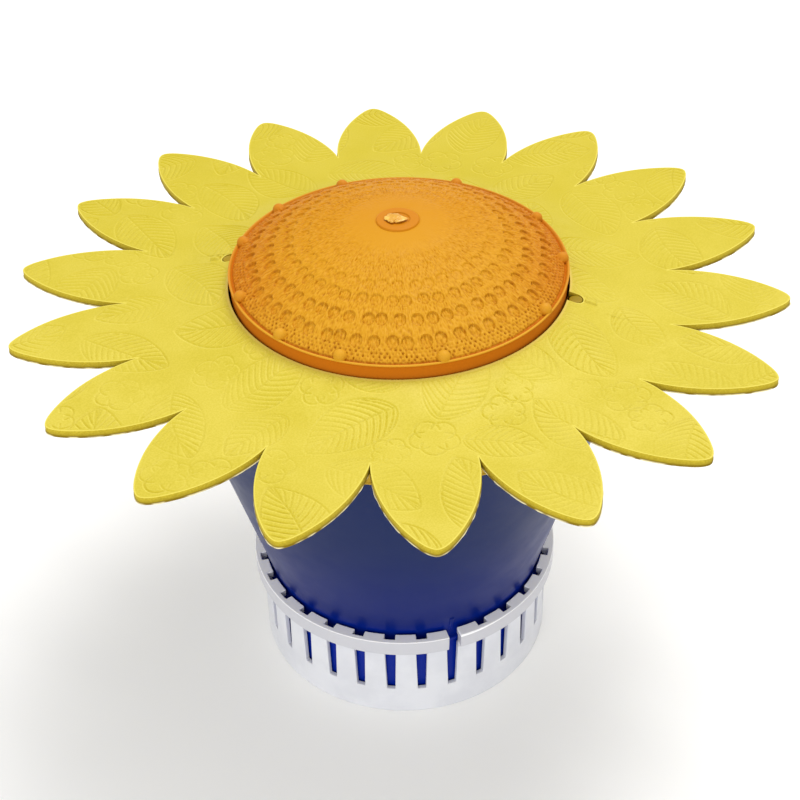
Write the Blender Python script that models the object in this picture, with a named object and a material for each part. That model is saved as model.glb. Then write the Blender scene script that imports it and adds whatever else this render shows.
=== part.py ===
"""Floating chlorine dispenser in the shape of a sunflower.

A tapered canister for chlorine tablets hangs under a float housing that carries a soft petal sheet.
A domed bayonet cap closes the canister's mouth, and a slotted collar round its foot sets the flow.
Metres, +Z up. The origin is the centre of the collar's foot, and every moving piece turns about Z.
"""
import math

import bmesh
import bpy

GAP = 0.0003
SEGMENTS = 60
OVERCUT = 0.004

# Petal sheet
PETALS = 18
TIP_R = 0.1512
VALLEY_R = 0.1080
TIP_ANGLE = math.radians(93.97)
PETAL_FULLNESS = 1.40
PETAL_POINT = 0.76
PETAL_STEPS = 7
SHEET_TOP = 0.1800
SHEET_T = 0.0030
SHEET_HOLE_R = 0.0690
SHEET_CROWN_R = 0.0880
SHEET_RISE = 0.0050
KEYHOLE_ANGLES = (math.radians(-14.0), math.radians(166.0))
KEYHOLE_R = 0.0030
KEYHOLE_CENTRE_R = 0.0705

# Float housing, the shallow shell under the petal sheet
PLATE_TOP = SHEET_TOP - SHEET_T - GAP
PLATE_T = 0.0020
HOUSING_R = 0.0932
HOUSING_WALL = 0.0018
HOUSING_BOTTOM = 0.1571
HOUSING_LIP = 0.0006
HOUSING_LIP_H = 0.0015
RECESS_R = 0.0763
RECESS_TOP = PLATE_TOP + SHEET_RISE * (SHEET_CROWN_R - RECESS_R) / (SHEET_CROWN_R - SHEET_HOLE_R)
RECESS_DEPTH = 0.0015
HOUSING_BORE_R = 0.0709

# Neck ring, which the cap locks into
NECK_R = 0.0692
NECK_WALL = 0.0014
NECK_FLANGE_R = RECESS_R - GAP
NECK_FLANGE_T = 0.0012
NECK_BEAD = 0.0008
MOUTH_R = 0.0560
FLOOR_TOP = 0.1644
FLOOR_T = 0.0020
LUGS = 3
LEDGE_R = 0.0671
LEDGE_BOTTOM = 0.1702
LEDGE_T = 0.0020
LEDGE_SWEEP = math.radians(44.0)
STOP_SWEEP = math.radians(6.0)
LUG_SWEEP = math.radians(28.0)
LUG_LEAD = math.radians(2.0)
LEDGE_TURN = math.radians(1.0)

# Cap and gasket
GASKET_T = 0.0020
GASKET_IN_R = 0.0620
GASKET_OUT_R = 0.0672
CAP_RIM_R = 0.0671
CAP_RIM_Z = SHEET_TOP + 0.0107
CAP_RIM_HALF = 0.0009
CAP_DOME_R = 0.0658
CAP_DOME_RISE = 0.0208
CAP_WALL = 0.0022
SKIRT_R = 0.0665
SKIRT_BOTTOM = FLOOR_TOP + GASKET_T + 2 * GAP
LUG_R = 0.0684
LUG_T = 0.0025
BOSS_R = 0.0085
BOSS_RISE = 0.0013
BOSS_WELL_R = 0.0046
DOME_STEPS = 7

# Float ring, closed-cell foam inside the housing
FLOAT_IN_R = 0.0717
FLOAT_OUT_R = 0.0862
FLOAT_H = 0.0250

# Canister
CANISTER_WALL = 0.0022
CANISTER_RIM_R = HOUSING_R - HOUSING_WALL - GAP
CANISTER_RIM_TOP = PLATE_TOP - PLATE_T - GAP
SHOULDER_R = 0.0916
SHOULDER_Z = HOUSING_BOTTOM - GAP
FOOT_R = 0.0610
CONE_START_Z = 0.0455
CANISTER_BOTTOM = 0.0024
FOOT_LEDGE_R = 0.0560
SNAP_R = 0.0627
SNAP_Z = 0.0405
SNAP_H = 0.0010
RIB_W = 0.0016
RIB_PROUD = 0.0008
RIB_BOTTOM = 0.0390
RIB_TOP = 0.0535

# Flow collar
SLOTS = 30
SLOT_PITCH = 2 * math.pi / SLOTS
SPLIT_ANGLE = math.radians(-72.4)
COLLAR_TOP = 0.0463
COLLAR_WALL_R = 0.0640
COLLAR_IN_R = 0.0618
COLLAR_FLANGE_R = 0.0570
COLLAR_FLANGE_T = 0.0020
BAND_R = 0.0672
BAND_BOTTOM = 0.0390
LAND_R = 0.0622
LAND_TOP_R = 0.0651
LAND_BOTTOM = 0.0425
GROOVE_R = 0.0632
GROOVE_BOTTOM = 0.0378
SLOT_TOP = BAND_BOTTOM - 0.0003
SLOT_BOTTOM = 0.0139
SLOT_W_TOP = 0.0049
SLOT_W_BOTTOM = 0.0036
NOTCH_W = 0.0046
PORT_W = 0.0032
PORT_TOP = 0.0345
PORT_BOTTOM = 0.0145

# Turn stops: canister feet in windows of the collar's flange
STOPS = 3
WINDOW_SWEEP = math.radians(16.0)
FOOT_SWEEP = math.radians(9.6)
FOOT_LEAD = math.radians(0.2)
WINDOW_CENTRE = math.radians(30.0)
FOOT_IN_R = 0.0574
FOOT_OUT_R = 0.0600
WINDOW_OUT_R = 0.0606
FOOT_CLEAR = 0.0004

# Base grate
GRATE_R = FOOT_R - CANISTER_WALL - GAP
GRATE_T = 0.0026
GRATE_ROWS = ((0.012, 0.028, 6), (0.035, 0.051, 14))
GRATE_SLOT_W = 0.0040


def srgb(red, green, blue):
    """Display colour in 0..255 as linear RGBA."""
    return tuple((value / 255.0) ** 2.2 for value in (red, green, blue)) + (1.0,)


def plastic(name, colour, roughness):
    """Return a Principled material for one moulded or foamed plastic."""
    material = bpy.data.materials.new(name)
    material.use_nodes = True
    shader = material.node_tree.nodes["Principled BSDF"]
    shader.inputs["Base Color"].default_value = colour
    shader.inputs["Roughness"].default_value = roughness
    shader.inputs["Metallic"].default_value = 0.0
    return material


def add_object(name, bm, material=None):
    """Close a bmesh into an object with its faces pointing out."""
    bmesh.ops.remove_doubles(bm, verts=bm.verts, dist=1e-7)
    bmesh.ops.recalc_face_normals(bm, faces=bm.faces)
    mesh = bpy.data.meshes.new(name)
    bm.to_mesh(mesh)
    bm.free()
    obj = bpy.data.objects.new(name, mesh)
    bpy.context.scene.collection.objects.link(obj)
    if material:
        mesh.materials.append(material)
        mesh.shade_smooth()
        mesh.set_sharp_from_angle(angle=math.radians(35))
    return obj


def polar(radius, angle, z):
    """Point at a radius, an angle and a height."""
    return (radius * math.cos(angle), radius * math.sin(angle), z)


def lathe(name, profile, material, segments=SEGMENTS):
    """Spin a closed (radius, z) profile into a ring-shaped solid."""
    bm = bmesh.new()
    verts = [bm.verts.new((radius, 0.0, z)) for radius, z in profile]
    edges = [bm.edges.new((verts[i - 1], vert)) for i, vert in enumerate(verts)
             if vert.co.x > 0.0 or verts[i - 1].co.x > 0.0]
    bmesh.ops.spin(bm, geom=verts + edges, cent=(0, 0, 0), axis=(0, 0, 1),
                   angle=2 * math.pi, steps=segments, use_merge=True)
    bmesh.ops.remove_doubles(bm, verts=bm.verts, dist=1e-6)
    bmesh.ops.dissolve_degenerate(bm, edges=bm.edges, dist=1e-7)
    return add_object(name, bm, material)


def add_loop(bm, points):
    """Add a closed loop of edges through the points."""
    verts = [bm.verts.new(point) for point in points]
    return [bm.edges.new((verts[i - 1], vert)) for i, vert in enumerate(verts)]


def add_prism(bm, base, offset):
    """Add a closed prism: a planar base outline swept along an offset."""
    low = [bm.verts.new(point) for point in base]
    high = [bm.verts.new([a + b for a, b in zip(point, offset)]) for point in base]
    bm.faces.new(low)
    bm.faces.new(reversed(high))
    for i in range(len(base)):
        bm.faces.new((low[i - 1], low[i], high[i], high[i - 1]))


def add_sector(bm, radii, heights, start, sweep, steps=4):
    """Add a block that follows a ring between two radii, two heights and two angles."""
    angles = [start + sweep * i / steps for i in range(steps + 1)]
    outline = [polar(radii[1], angle, heights[0]) for angle in angles]
    outline += [polar(radii[0], angle, heights[0]) for angle in reversed(angles)]
    add_prism(bm, outline, (0, 0, heights[1] - heights[0]))


def add_radial_prism(bm, outline, radii, angle):
    """Add a prism along a radius; its outline is given as (sideways, z) points."""
    radial = (math.cos(angle), math.sin(angle))
    base = [(radii[0] * radial[0] - side * radial[1], radii[0] * radial[1] + side * radial[0], z)
            for side, z in outline]
    length = radii[1] - radii[0]
    add_prism(bm, base, (length * radial[0], length * radial[1], 0))


def slot_outline(bottom, top, width_bottom, width_top):
    """Outline of an upright slot as (sideways, z) points."""
    return [(-width_bottom / 2, bottom), (width_bottom / 2, bottom),
            (width_top / 2, top), (-width_top / 2, top)]


def combine(target, name, bm, operation):
    """Cut a helper mesh out of a target, or join it on, and hide the helper."""
    tool = add_object(name, bm)
    tool.hide_render = True
    tool.display_type = "WIRE"
    modifier = target.modifiers.new(name, "BOOLEAN")
    modifier.operation = operation
    modifier.solver = "EXACT"
    modifier.object = tool


def hang_on_pivot(name, height, *objects):
    """Parent objects to an empty on the Z axis, keeping their places."""
    pivot = bpy.data.objects.new(name, None)
    pivot.location = (0.0, 0.0, height)
    bpy.context.scene.collection.objects.link(pivot)
    for obj in objects:
        obj.parent = pivot
        obj.location = (0.0, 0.0, -height)


def dome_height(radius, shrink=0.0):
    """Height of the cap's spherical dome, or of the surface a shrink under it."""
    sphere = (CAP_DOME_R ** 2 + CAP_DOME_RISE ** 2) / (2 * CAP_DOME_RISE)
    centre = CAP_RIM_Z + CAP_DOME_RISE - sphere
    return centre + math.sqrt((sphere - shrink) ** 2 - radius ** 2)


def petal_outline():
    """Points round the sheet: each petal narrows from a sharp valley to a rounded tip."""
    half = math.pi / PETALS
    fractions = [1 - (1 - i / PETAL_STEPS) ** 1.8 for i in range(PETAL_STEPS + 1)]
    points = []
    for petal in range(PETALS):
        centre = TIP_ANGLE + petal * 2 * half
        rising = [(VALLEY_R + t * (TIP_R - VALLEY_R),
                   half * (1 - t ** PETAL_FULLNESS) ** PETAL_POINT) for t in fractions]
        points += [polar(radius, centre - width, 0.0) for radius, width in rising]
        points += [polar(radius, centre + width, 0.0) for radius, width in reversed(rising[1:-1])]
    return points


def make_petal_sheet(material):
    """Die-cut sheet of soft foam that rises round its hole, with two keyholes."""
    low = SHEET_TOP - SHEET_T
    bm = bmesh.new()
    rim = add_loop(bm, [(x, y, low) for x, y, _ in petal_outline()])
    turns = [2 * math.pi * i / SEGMENTS for i in range(SEGMENTS)]
    crown = add_loop(bm, [polar(SHEET_CROWN_R, turn, low) for turn in turns])
    hole = add_loop(bm, [polar(SHEET_HOLE_R, turn, low + SHEET_RISE) for turn in turns])
    bmesh.ops.triangle_fill(bm, edges=rim + crown, use_beauty=True)
    bmesh.ops.bridge_loops(bm, edges=crown + hole)
    bmesh.ops.recalc_face_normals(bm, faces=bm.faces)
    raised = bmesh.ops.extrude_face_region(bm, geom=bm.faces[:], use_keep_orig=True)["geom"]
    bmesh.ops.translate(bm, vec=(0, 0, SHEET_T), verts=[item for item in raised
                                                       if isinstance(item, bmesh.types.BMVert)])
    sheet = add_object("petal_sheet", bm, material)
    keyholes = bmesh.new()
    bottom, top = low - OVERCUT, SHEET_TOP + SHEET_RISE + OVERCUT
    for angle in KEYHOLE_ANGLES:
        x, y, _ = polar(KEYHOLE_CENTRE_R, angle, 0.0)
        circle = [polar(KEYHOLE_R, 2 * math.pi * i / 16, bottom) for i in range(16)]
        add_prism(keyholes, [(x + dx, y + dy, z) for dx, dy, z in circle], (0, 0, top - bottom))
    combine(sheet, "sheet_keyholes", keyholes, "DIFFERENCE")


def make_float_housing(material):
    """Shallow shell with a skirt over the canister's rim and a raised, recessed bore."""
    inner = HOUSING_R - HOUSING_WALL
    recess_low = RECESS_TOP - RECESS_DEPTH
    lathe("float_housing", [
        (HOUSING_BORE_R, recess_low), (RECESS_R, recess_low), (RECESS_R, RECESS_TOP),
        (SHEET_CROWN_R, PLATE_TOP), (HOUSING_R - 0.0010, PLATE_TOP), (HOUSING_R, PLATE_TOP - 0.0010),
        (HOUSING_R, HOUSING_BOTTOM + HOUSING_LIP_H),
        (HOUSING_R + HOUSING_LIP, HOUSING_BOTTOM + 0.7 * HOUSING_LIP_H),
        (HOUSING_R + HOUSING_LIP, HOUSING_BOTTOM), (inner, HOUSING_BOTTOM),
        (inner, PLATE_TOP - PLATE_T), (SHEET_CROWN_R, PLATE_TOP - PLATE_T),
        (RECESS_R, recess_low - PLATE_T), (HOUSING_BORE_R, recess_low - PLATE_T),
    ], material)


def make_neck_ring(material):
    """Bayonet ring: a flanged well whose inner ledges hold the cap's lugs down."""
    outer = NECK_R + NECK_WALL
    bead_z = RECESS_TOP - RECESS_DEPTH - PLATE_T - GAP
    ring = lathe("neck_ring", [
        (NECK_R, RECESS_TOP), (NECK_FLANGE_R, RECESS_TOP),
        (NECK_FLANGE_R, RECESS_TOP - NECK_FLANGE_T), (outer, RECESS_TOP - NECK_FLANGE_T),
        (outer, bead_z), (outer + NECK_BEAD, bead_z - NECK_BEAD), (outer, bead_z - 2 * NECK_BEAD),
        (outer, FLOOR_TOP - FLOOR_T), (MOUTH_R, FLOOR_TOP - FLOOR_T), (MOUTH_R, FLOOR_TOP),
        (NECK_R, FLOOR_TOP),
    ], material)
    ledges = bmesh.new()
    stops = bmesh.new()
    reach = NECK_R + 0.5 * NECK_WALL
    for lug in range(LUGS):
        start = LEDGE_TURN + lug * 2 * math.pi / LUGS
        add_sector(ledges, (LEDGE_R, reach), (LEDGE_BOTTOM, LEDGE_BOTTOM + LEDGE_T),
                   start - LEDGE_SWEEP, LEDGE_SWEEP)
        add_sector(stops, (LEDGE_R + GAP, reach + GAP), (FLOOR_TOP - GAP, LEDGE_BOTTOM + GAP),
                   start - LEDGE_SWEEP + GAP, STOP_SWEEP, steps=1)
    combine(ring, "neck_ledges", ledges, "UNION")
    combine(ring, "neck_stops", stops, "UNION")


def make_cap_gasket(material):
    """Flat rubber ring between the neck ring's floor and the cap's skirt."""
    low = FLOOR_TOP + GAP
    lathe("cap_gasket", [
        (GASKET_IN_R, low + GASKET_T), (GASKET_OUT_R, low + GASKET_T),
        (GASKET_OUT_R, low), (GASKET_IN_R, low),
    ], material)
    return bpy.data.objects["cap_gasket"]


def make_dome_cap(material):
    """Domed lid with a rim bead, a centre boss, a skirt and bayonet lugs."""
    boss_top = dome_height(0.0) + BOSS_RISE
    radii = [BOSS_R + (CAP_DOME_R - BOSS_R) * i / DOME_STEPS for i in range(DOME_STEPS + 1)]
    outside = [(0.0, boss_top - 1.5 * BOSS_RISE), (BOSS_WELL_R, boss_top - 1.5 * BOSS_RISE),
               (BOSS_WELL_R, boss_top), (BOSS_R - 0.0008, boss_top)]
    outside += [(radius, dome_height(radius)) for radius in radii]
    outside += [(CAP_RIM_R - CAP_RIM_HALF, CAP_RIM_Z + CAP_RIM_HALF), (CAP_RIM_R, CAP_RIM_Z),
                (SKIRT_R, CAP_RIM_Z - CAP_RIM_HALF), (SKIRT_R, SKIRT_BOTTOM)]
    skirt_in = SKIRT_R - CAP_WALL
    inner_radii = [skirt_in * (1 - i / DOME_STEPS) for i in range(DOME_STEPS + 1)]
    inside = [(skirt_in, SKIRT_BOTTOM)]
    inside += [(radius, dome_height(radius, CAP_WALL)) for radius in inner_radii]
    cap = lathe("dome_cap", outside + inside, material)
    lugs = bmesh.new()
    for lug in range(LUGS):
        start = LEDGE_TURN + LUG_LEAD + lug * 2 * math.pi / LUGS
        add_sector(lugs, (SKIRT_R - 0.5 * CAP_WALL, LUG_R),
                   (SKIRT_BOTTOM + GAP, SKIRT_BOTTOM + GAP + LUG_T), start, LUG_SWEEP)
    combine(cap, "cap_lugs", lugs, "UNION")
    return cap


def make_float_ring(material):
    """Closed-cell foam ring that sits under the housing's plate."""
    top = CANISTER_RIM_TOP - GAP
    lathe("float_ring", [
        (FLOAT_IN_R, top), (FLOAT_OUT_R, top),
        (FLOAT_OUT_R, top - FLOAT_H), (FLOAT_IN_R, top - FLOAT_H),
    ], material)


def canister_profile():
    """Closed profile: rim, flared wall, snap bead and foot, then back up the inside."""
    wall = CANISTER_WALL
    inner_foot = FOOT_R - wall
    snap_in = SNAP_R - FOOT_R
    return [
        (CANISTER_RIM_R, CANISTER_RIM_TOP), (CANISTER_RIM_R, SHOULDER_Z), (SHOULDER_R, SHOULDER_Z),
        (FOOT_R, CONE_START_Z),
        (FOOT_R, SNAP_Z + SNAP_H / 2 + snap_in / 4), (SNAP_R, SNAP_Z + SNAP_H / 2),
        (SNAP_R, SNAP_Z - SNAP_H / 2), (FOOT_R, SNAP_Z - SNAP_H / 2 - snap_in / 2),
        (FOOT_R, CANISTER_BOTTOM), (FOOT_LEDGE_R, CANISTER_BOTTOM),
        (FOOT_LEDGE_R, CANISTER_BOTTOM + wall), (inner_foot, CANISTER_BOTTOM + wall),
        (inner_foot, CONE_START_Z), (SHOULDER_R - wall, SHOULDER_Z),
        (CANISTER_RIM_R - wall, CANISTER_RIM_TOP),
    ]


def make_canister(material):
    """Tapered tablet canister with ports in its foot, a pointer rib and stop feet."""
    canister = lathe("canister", canister_profile(), material)
    ports = bmesh.new()
    outline = slot_outline(PORT_BOTTOM, PORT_TOP, PORT_W, PORT_W)
    for slot in range(SLOTS):
        angle = SPLIT_ANGLE + (slot + 0.5) * SLOT_PITCH
        add_radial_prism(ports, outline, (FOOT_R - CANISTER_WALL - OVERCUT, FOOT_R + OVERCUT), angle)
    combine(canister, "canister_ports", ports, "DIFFERENCE")

    flare = (SHOULDER_R - FOOT_R) / (SHOULDER_Z - CONE_START_Z)
    rib_top_r = FOOT_R + flare * (RIB_TOP - CONE_START_Z)
    rib_profile = [(FOOT_R - RIB_PROUD, RIB_BOTTOM), (FOOT_R + RIB_PROUD, RIB_BOTTOM),
                   (FOOT_R + RIB_PROUD, CONE_START_Z), (rib_top_r + RIB_PROUD, RIB_TOP),
                   (rib_top_r - RIB_PROUD, RIB_TOP), (FOOT_R - RIB_PROUD, CONE_START_Z)]
    side = (math.sin(SPLIT_ANGLE) * RIB_W, -math.cos(SPLIT_ANGLE) * RIB_W, 0.0)
    rib = bmesh.new()
    base = [polar(radius, SPLIT_ANGLE, z) for radius, z in rib_profile]
    add_prism(rib, [(x - side[0] / 2, y - side[1] / 2, z) for x, y, z in base], side)
    combine(canister, "canister_rib", rib, "UNION")

    feet = bmesh.new()
    for stop in range(STOPS):
        window_end = WINDOW_CENTRE + stop * 2 * math.pi / STOPS + WINDOW_SWEEP / 2
        add_sector(feet, (FOOT_IN_R, FOOT_OUT_R), (FOOT_CLEAR, CANISTER_BOTTOM + CANISTER_WALL / 2),
                   window_end - FOOT_LEAD - FOOT_SWEEP, FOOT_SWEEP, steps=2)
    combine(canister, "canister_feet", feet, "UNION")


def make_base_grate(material):
    """Slotted disc that keeps the tablets off the canister's foot."""
    low = CANISTER_BOTTOM + CANISTER_WALL + GAP
    grate = lathe("base_grate", [
        (0.0, low + GRATE_T), (GRATE_R, low + GRATE_T), (GRATE_R, low), (0.0, low),
    ], material)
    slots = bmesh.new()
    outline = slot_outline(low - OVERCUT, low + GRATE_T + OVERCUT, GRATE_SLOT_W, GRATE_SLOT_W)
    for inner, outer, count in GRATE_ROWS:
        for slot in range(count):
            add_radial_prism(slots, outline, (inner, outer), 2 * math.pi * slot / count)
    combine(grate, "grate_slots", slots, "DIFFERENCE")


def collar_profile():
    """Closed profile: flat lands, proud band, slotted wall, foot flange and snap groove."""
    return [
        (LAND_R, COLLAR_TOP), (BAND_R - 0.0006, COLLAR_TOP), (BAND_R, COLLAR_TOP - 0.0006),
        (BAND_R, BAND_BOTTOM), (COLLAR_WALL_R, BAND_BOTTOM), (COLLAR_WALL_R, 0.0008),
        (COLLAR_WALL_R - 0.0008, 0.0), (COLLAR_FLANGE_R, 0.0),
        (COLLAR_FLANGE_R, COLLAR_FLANGE_T), (COLLAR_IN_R, COLLAR_FLANGE_T),
        (COLLAR_IN_R, GROOVE_BOTTOM), (GROOVE_R, GROOVE_BOTTOM + GROOVE_R - COLLAR_IN_R),
        (GROOVE_R, LAND_BOTTOM - GROOVE_R + LAND_R), (LAND_R, LAND_BOTTOM),
    ]


def make_flow_collar(material):
    """Slotted ring that turns on the canister's foot and opens or covers its ports."""
    collar = lathe("flow_collar", collar_profile(), material)
    slots = bmesh.new()
    notches = bmesh.new()
    slot = slot_outline(SLOT_BOTTOM, SLOT_TOP, SLOT_W_BOTTOM, SLOT_W_TOP)
    notch = slot_outline(LAND_BOTTOM + GAP, COLLAR_TOP + OVERCUT, NOTCH_W, NOTCH_W)
    for index in range(1, SLOTS):
        angle = SPLIT_ANGLE + index * SLOT_PITCH
        add_radial_prism(slots, slot, (COLLAR_IN_R - OVERCUT, COLLAR_WALL_R + OVERCUT), angle)
        add_radial_prism(notches, notch, (LAND_R - OVERCUT, LAND_TOP_R), angle)
    combine(collar, "collar_slots", slots, "DIFFERENCE")
    combine(collar, "collar_notches", notches, "DIFFERENCE")

    split = bmesh.new()
    split_outline = slot_outline(SLOT_BOTTOM, COLLAR_TOP + OVERCUT, SLOT_W_BOTTOM, SLOT_W_TOP)
    add_radial_prism(split, split_outline, (COLLAR_IN_R - OVERCUT, BAND_R + OVERCUT), SPLIT_ANGLE)
    combine(collar, "collar_split", split, "DIFFERENCE")

    windows = bmesh.new()
    for stop in range(STOPS):
        start = WINDOW_CENTRE + stop * 2 * math.pi / STOPS - WINDOW_SWEEP / 2
        add_sector(windows, (COLLAR_FLANGE_R - OVERCUT, WINDOW_OUT_R),
                   (-OVERCUT, COLLAR_FLANGE_T + OVERCUT / 2), start, WINDOW_SWEEP)
    combine(collar, "collar_windows", windows, "DIFFERENCE")
    return collar


def main():
    for obj in list(bpy.data.objects):
        bpy.data.objects.remove(obj)
    canary = srgb(238, 218, 70)
    mustard = srgb(176, 138, 30)
    blue = srgb(40, 52, 122)
    make_petal_sheet(plastic("petal_foam", canary, 0.6))
    make_float_housing(plastic("housing_plastic", mustard, 0.45))
    make_neck_ring(plastic("neck_plastic", mustard, 0.45))
    make_float_ring(plastic("float_foam", srgb(226, 224, 214), 0.85))
    make_canister(plastic("canister_plastic", blue, 0.3))
    make_base_grate(plastic("grate_plastic", blue, 0.35))
    gasket = make_cap_gasket(plastic("gasket_rubber", srgb(30, 30, 32), 0.7))
    cap = make_dome_cap(plastic("cap_plastic", srgb(226, 134, 30), 0.4))
    collar = make_flow_collar(plastic("collar_plastic", srgb(232, 233, 238), 0.35))
    hang_on_pivot("cap_pivot", FLOOR_TOP, gasket, cap)
    hang_on_pivot("collar_pivot", COLLAR_TOP, collar)


main()
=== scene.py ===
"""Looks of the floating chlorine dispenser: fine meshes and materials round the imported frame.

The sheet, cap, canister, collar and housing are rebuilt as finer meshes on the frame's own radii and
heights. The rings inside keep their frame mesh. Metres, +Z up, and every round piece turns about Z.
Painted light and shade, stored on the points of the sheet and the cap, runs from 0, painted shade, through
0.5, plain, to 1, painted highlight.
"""
import itertools
import math
import random

import bmesh
import bpy
import numpy as np
from mathutils import Euler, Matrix, Vector, geometry, noise
from mathutils.kdtree import KDTree


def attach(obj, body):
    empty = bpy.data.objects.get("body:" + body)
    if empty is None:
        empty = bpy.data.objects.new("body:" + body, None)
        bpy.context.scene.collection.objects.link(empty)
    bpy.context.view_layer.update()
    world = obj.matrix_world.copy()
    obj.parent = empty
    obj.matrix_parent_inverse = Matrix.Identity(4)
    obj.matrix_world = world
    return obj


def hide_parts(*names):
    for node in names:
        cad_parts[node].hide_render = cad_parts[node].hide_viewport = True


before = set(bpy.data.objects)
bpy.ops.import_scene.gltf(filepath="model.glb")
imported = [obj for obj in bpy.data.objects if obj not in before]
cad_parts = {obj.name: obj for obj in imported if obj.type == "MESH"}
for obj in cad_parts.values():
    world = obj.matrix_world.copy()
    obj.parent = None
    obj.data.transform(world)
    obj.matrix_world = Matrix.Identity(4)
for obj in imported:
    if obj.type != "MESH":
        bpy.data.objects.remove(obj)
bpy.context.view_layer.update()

MM = 0.001
TURN = 2 * math.pi


def ring_size(node):
    """Inner and outer radius and low and high z of a round frame node."""
    points = np.array([vert.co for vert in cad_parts[node].data.vertices])
    radii = np.hypot(points[:, 0], points[:, 1])
    return radii.min(), radii.max(), points[:, 2].min(), points[:, 2].max()


# Shape of the petal sheet; a keyhole lies within its reach, in radians, of its centre line
FRAME_HOLE_R, TIP_R, SHEET_LOW, SHEET_HIGH = ring_size("petal_sheet")
PETALS = 18
HALF_PETAL = math.pi / PETALS
TIP_ANGLE = math.radians(93.97)
PETAL_FULLNESS = 1.40
PETAL_POINT = 0.76
TIP_BLUNTNESS = 0.002
TIP_ROUNDING = 0.040
TIP_ROUND_SHARE = 0.06
HOLE_R = FRAME_HOLE_R - 1.4 * MM
VALLEY_R = 0.714 * TIP_R
SHEET_RISE = 5.0 * MM
SHEET_TOP = SHEET_HIGH - SHEET_RISE
CROWN_R = 88.0 * MM
CROWN_SOFTNESS = 5.0 * MM
WARP_R = 100.0 * MM
WARP_RISE = 2.0 * MM
WARP_STRETCH = 0.012
KEYHOLE_ANGLES = (math.radians(-14.0), math.radians(166.0))
KEYHOLE_R = 3.0 * MM
KEYHOLE_CENTRE_R = 70.5 * MM
KEYHOLE_REACH = 0.2

# Grid of the petal sheet, with rows and columns crowding towards the petals' edges
SHEET_COLUMNS = 96
RING_ROWS = 104
PETAL_ROWS = 124
COLUMN_CROWDING = 0.25
ROW_CROWDING = 1.4
UNDERSIDE_POINTS = 240

# Motifs of the sheet: leaves as (length, width), and the discs that keep their places free
LEAVES = ((38 * MM, 23 * MM), (34 * MM, 20 * MM), (29 * MM, 17 * MM))
LEAF_TRIES = 2200
LEAF_FULLNESS = 0.85
LEAF_POINT = 0.72
LEAF_BEND = 0.10
LEAF_STEPS = 60
LEAF_DISCS = ((-1 / 3.4, 0.40), (0, 0.54), (1 / 3.4, 0.40))
VEIN_GAP = 2.9 * MM
VEIN_STEPS = 14
VEIN_CURVE = 1.35
BLOSSOMS = (17 * MM, 15 * MM, 13 * MM)
BLOSSOM_TRIES = 4200
BLOSSOM_DISC = 0.44
LOBES = 5
LOBE_R = 0.26
LOBE_REACH = 0.28
LOBE_HALF_ARC = 115
LOBE_STEPS = 24

# Pressed lines of the sheet: a groove, a soft lip on both sides, and painted light and shade on the
# groove, the lips and the flanks
STROKE_STEP = 0.18 * MM
STROKE_DEPTH = 0.34 * MM
STROKE_WIDTH = 0.25 * MM
STROKE_SHADE = -0.12
LIP_HEIGHT = 0.14 * MM
LIP_OFFSET = 0.60 * MM
LIP_HIGHLIGHT = 0.08
FLANK_OFFSET = 0.36 * MM
FLANK_WIDTH = 0.26 * MM
FLANK_LIGHT = 0.40
# Direction in the plane that the painted light comes from: flanks turned to it are painted paler, flanks
# turned away darker
PAINTED_LIGHT_FROM = (0.35, 0.94)
WEAR_SCALE = 40
WEAR_GAIN = 1.1
LEAST_STRENGTH = 0.40
STRENGTH_RANGE = 0.50

# Skin and edge of the sheet, with a painted highlight along the top of the cut edge
RIPPLE_SCALE = 55
RIPPLE_HEIGHT = 0.10 * MM
RIPPLE_FADE = 4 * MM
EDGE_LINE = 0.65 * MM
EDGE_FADE = 0.4 * MM
EDGE_HIGHLIGHT = 0.85
EDGE_DROP = 0.04 * MM
RAGGED_SCALE = 260
TORN_SHARE = 0.55
TORN_GAIN = 1.8

# Rows down the sheet's cut edge: share of the thickness, stand-off and burr in mm, painted light (painted
# shade that deepens down the edge), pale lip
EDGE_ROWS = ((0.05, 0.05, 0.0, 0.75, 0.0), (0.30, 0.06, 0.0, 0.60, 0.0), (0.60, 0.05, 0.0, 0.40, 0.0),
             (0.80, 0.02, 0.0, 0.0, 0.0), (0.84, 0.05, 0.0, 0.0, 0.2), (0.88, 0.22, 0.40, 0.0, 1.0),
             (1.0, 0.18, 0.30, 0.0, 1.0))

# Short raised bar just outside each keyhole
BAR_START = 74.0 * MM
BAR_END = 78.8 * MM
BAR_HALF_WIDTH = 1.12 * MM
BAR_SLOPE = 0.7 * MM
BAR_END_SLOPE = 0.4 * MM
BAR_HEIGHT = 1.1 * MM

# Dome cap, with the start and sweep of its lugs in degrees
_, CAP_LUG_R, CAP_LOW, _ = ring_size("dome_cap")
RIM_R = 67.1 * MM
RIM_BEAD_R = 0.45 * MM
RIM_GROOVE = 0.5 * MM
RIM_Z = SHEET_TOP + 10.7 * MM
DOME_R = 65.8 * MM
DOME_RISE = 20.8 * MM
SPHERE_R = (DOME_R ** 2 + DOME_RISE ** 2) / (2 * DOME_RISE)
SPHERE_CENTRE = np.array([0.0, 0.0, RIM_Z + DOME_RISE - SPHERE_R])
CAP_WALL = 2.2 * MM
SKIRT_R = 66.5 * MM
BOSS_R = 8.5 * MM
BOSS_RISE = 0.28 * MM
BOSS_CORNER = 0.4 * MM
WELL_R = 4.7 * MM
WELL_DEPTH = 0.5 * MM
LUG_START = 3.0
LUG_SWEEP = 28.0
LUG_LOW = 0.3 * MM
LUG_HIGH = 2.8 * MM

# Grid of the cap: rows of the crown and its margin, and the radii where its columns double
CAP_COLUMNS = 1512
CROWN_STEP = 0.34 * MM
MARGIN_R = 60 * MM
MARGIN_STEP = 0.24 * MM
COARSE_R = 22 * MM
MIDDLE_R = 42 * MM

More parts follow.
